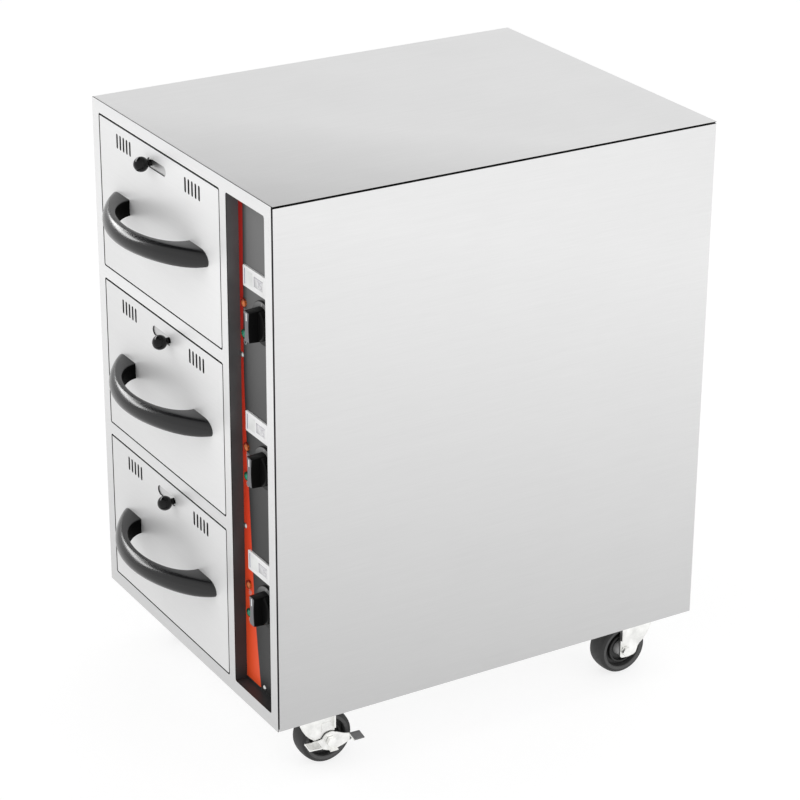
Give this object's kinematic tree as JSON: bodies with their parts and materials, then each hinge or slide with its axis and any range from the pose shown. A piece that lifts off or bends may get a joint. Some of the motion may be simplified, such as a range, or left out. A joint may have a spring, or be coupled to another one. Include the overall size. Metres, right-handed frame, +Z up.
{
  "type": "plate warmer cabinet",
  "caption": "Upright heated plate warmer cabinet with stacked pull-out drawers, bow handles, sliding vent shutters, a recessed control bay with thermostat knobs, and swivel casters.",
  "frame": {"origin": "on the floor, under the middle of the whole object's bounding box", "axes": "+Z up, +X to the right seen from the front, +Y towards the back; the drawers open towards -Y"},
  "size_m": [0.52, 0.762, 0.85],
  "materials": {
    "stainless_shell": "satin brushed",
    "galvanised_sheet": "satin",
    "pan_steel": "polished",
    "slide_steel": "zinc plated",
    "element_sheath": "heat darkened",
    "mineral_wool": "matt",
    "fascia_coating": "satin",
    "white_plastic": "satin",
    "amber_lens": "gloss",
    "green_lens": "gloss",
    "thermostat_body": "plain",
    "fasteners": "zinc plated",
    "black_plastic": "satin gloss",
    "gland_plastic": "matt",
    "terminal_plastic": "matt",
    "caster_steel": "bright zinc",
    "wheel_rubber": "matt"
  },
  "bodies": {
    "cabinet": {"top_panel": "stainless_shell", "left_side_panel": "stainless_shell", "right_side_panel": "stainless_shell", "back_panel": "stainless_shell", "base_pan": "galvanised_sheet", "front_frame": "stainless_shell", "inner_liner": "galvanised_sheet", "heater_shelves": "galvanised_sheet", "heating_elements": "element_sheath", "insulation": "mineral_wool", "control_recess": "fascia_coating", "control_fascia": "fascia_coating", "thermometers": "white_plastic", "heat_lamps": "amber_lens", "power_lamps": "green_lens", "thermostats": "thermostat_body", "outer_slides": "slide_steel", "cabinet_screws": "fasteners", "cable_gland": "gland_plastic", "terminal_block": "terminal_plastic", "caster_plates": "caster_steel", "caster_bolts": "fasteners"},
    "drawer_1": {"drawer_1_front": "stainless_shell", "drawer_1_frame": "galvanised_sheet", "drawer_1_pan": "pan_steel", "drawer_1_handle": "black_plastic", "drawer_1_inner_slides": "slide_steel"},
    "drawer_1_middle_members": {"drawer_1_mid_slides": "slide_steel"},
    "drawer_1_vent_control": {"drawer_1_shutter": "galvanised_sheet", "drawer_1_shutter_knob": "black_plastic"},
    "drawer_2": {"drawer_2_front": "stainless_shell", "drawer_2_frame": "galvanised_sheet", "drawer_2_pan": "pan_steel", "drawer_2_handle": "black_plastic", "drawer_2_inner_slides": "slide_steel"},
    "drawer_2_middle_members": {"drawer_2_mid_slides": "slide_steel"},
    "drawer_2_vent_control": {"drawer_2_shutter": "galvanised_sheet", "drawer_2_shutter_knob": "black_plastic"},
    "drawer_3": {"drawer_3_front": "stainless_shell", "drawer_3_frame": "galvanised_sheet", "drawer_3_pan": "pan_steel", "drawer_3_handle": "black_plastic", "drawer_3_inner_slides": "slide_steel"},
    "drawer_3_middle_members": {"drawer_3_mid_slides": "slide_steel"},
    "drawer_3_vent_control": {"drawer_3_shutter": "galvanised_sheet", "drawer_3_shutter_knob": "black_plastic"},
    "top_control": {"top_knob": "black_plastic"},
    "middle_control": {"middle_knob": "black_plastic"},
    "bottom_control": {"bottom_knob": "black_plastic"},
    "front_left_caster": {"front_left_fork": "caster_steel"},
    "front_left_roller": {"front_left_wheel": "wheel_rubber"},
    "front_left_pedal": {"front_left_brake": "caster_steel"},
    "rear_left_caster": {"rear_left_fork": "caster_steel"},
    "rear_left_roller": {"rear_left_wheel": "wheel_rubber"},
    "front_right_caster": {"front_right_fork": "caster_steel"},
    "front_right_roller": {"front_right_wheel": "wheel_rubber"},
    "front_right_pedal": {"front_right_brake": "caster_steel"},
    "rear_right_caster": {"rear_right_fork": "caster_steel"},
    "rear_right_roller": {"rear_right_wheel": "wheel_rubber"}
  },
  "joints": [
    {"name": "drawer_1_slide", "type": "slide", "parent": "cabinet", "child": "drawer_1", "axis": [0, -1, 0], "range_m": [0, 0.48]},
    {"name": "drawer_1_middle_slide", "type": "slide", "parent": "cabinet", "child": "drawer_1_middle_members", "axis": [0, -1, 0], "range_m": [0, 0.24]},
    {"name": "drawer_1_vent_slide", "type": "slide", "parent": "drawer_1", "child": "drawer_1_vent_control", "axis": [1, 0, 0], "range_m": [0, 0.04]},
    {"name": "drawer_2_slide", "type": "slide", "parent": "cabinet", "child": "drawer_2", "axis": [0, -1, 0], "range_m": [0, 0.48]},
    {"name": "drawer_2_middle_slide", "type": "slide", "parent": "cabinet", "child": "drawer_2_middle_members", "axis": [0, -1, 0], "range_m": [0, 0.24]},
    {"name": "drawer_2_vent_slide", "type": "slide", "parent": "drawer_2", "child": "drawer_2_vent_control", "axis": [1, 0, 0], "range_m": [-0.04, 0]},
    {"name": "drawer_3_slide", "type": "slide", "parent": "cabinet", "child": "drawer_3", "axis": [0, -1, 0], "range_m": [0, 0.48]},
    {"name": "drawer_3_middle_slide", "type": "slide", "parent": "cabinet", "child": "drawer_3_middle_members", "axis": [0, -1, 0], "range_m": [0, 0.24]},
    {"name": "drawer_3_vent_slide", "type": "slide", "parent": "drawer_3", "child": "drawer_3_vent_control", "axis": [1, 0, 0], "range_m": [-0.04, 0]},
    {"name": "top_knob_turn", "type": "hinge", "parent": "cabinet", "child": "top_control", "pos_m": [0.205, -0.311, 0.672], "axis": [0, 1, 0], "range_deg": [0, 270]},
    {"name": "middle_knob_turn", "type": "hinge", "parent": "cabinet", "child": "middle_control", "pos_m": [0.205, -0.311, 0.4665], "axis": [0, 1, 0], "range_deg": [0, 270]},
    {"name": "bottom_knob_turn", "type": "hinge", "parent": "cabinet", "child": "bottom_control", "pos_m": [0.205, -0.311, 0.261], "axis": [0, 1, 0], "range_deg": [0, 270]},
    {"name": "front_left_swivel", "type": "hinge", "parent": "cabinet", "child": "front_left_caster", "pos_m": [-0.201, -0.248, 0.092], "axis": [0, 0, 1], "continuous": true},
    {"name": "front_left_roll", "type": "hinge", "parent": "front_left_caster", "child": "front_left_roller", "pos_m": [-0.201, -0.216, 0.04], "axis": [1, 0, 0], "continuous": true},
    {"name": "front_left_brake_tilt", "type": "hinge", "parent": "front_left_caster", "child": "front_left_pedal", "pos_m": [-0.201, -0.216, 0.04], "axis": [1, 0, 0], "range_deg": [-12, 12]},
    {"name": "rear_left_swivel", "type": "hinge", "parent": "cabinet", "child": "rear_left_caster", "pos_m": [-0.201, 0.315, 0.092], "axis": [0, 0, 1], "continuous": true},
    {"name": "rear_left_roll", "type": "hinge", "parent": "rear_left_caster", "child": "rear_left_roller", "pos_m": [-0.201, 0.283, 0.04], "axis": [1, 0, 0], "continuous": true},
    {"name": "front_right_swivel", "type": "hinge", "parent": "cabinet", "child": "front_right_caster", "pos_m": [0.201, -0.248, 0.092], "axis": [0, 0, 1], "continuous": true},
    {"name": "front_right_roll", "type": "hinge", "parent": "front_right_caster", "child": "front_right_roller", "pos_m": [0.201, -0.216, 0.04], "axis": [1, 0, 0], "continuous": true},
    {"name": "front_right_brake_tilt", "type": "hinge", "parent": "front_right_caster", "child": "front_right_pedal", "pos_m": [0.201, -0.216, 0.04], "axis": [1, 0, 0], "range_deg": [-12, 12]},
    {"name": "rear_right_swivel", "type": "hinge", "parent": "cabinet", "child": "rear_right_caster", "pos_m": [0.201, 0.315, 0.092], "axis": [0, 0, 1], "continuous": true},
    {"name": "rear_right_roll", "type": "hinge", "parent": "rear_right_caster", "child": "rear_right_roller", "pos_m": [0.201, 0.283, 0.04], "axis": [1, 0, 0], "continuous": true}
  ],
  "couplings": [
    {"joint": "drawer_1_middle_slide", "follows": "drawer_1_slide", "ratio": 0.5},
    {"joint": "drawer_2_middle_slide", "follows": "drawer_2_slide", "ratio": 0.5},
    {"joint": "drawer_3_middle_slide", "follows": "drawer_3_slide", "ratio": 0.5}
  ]
}
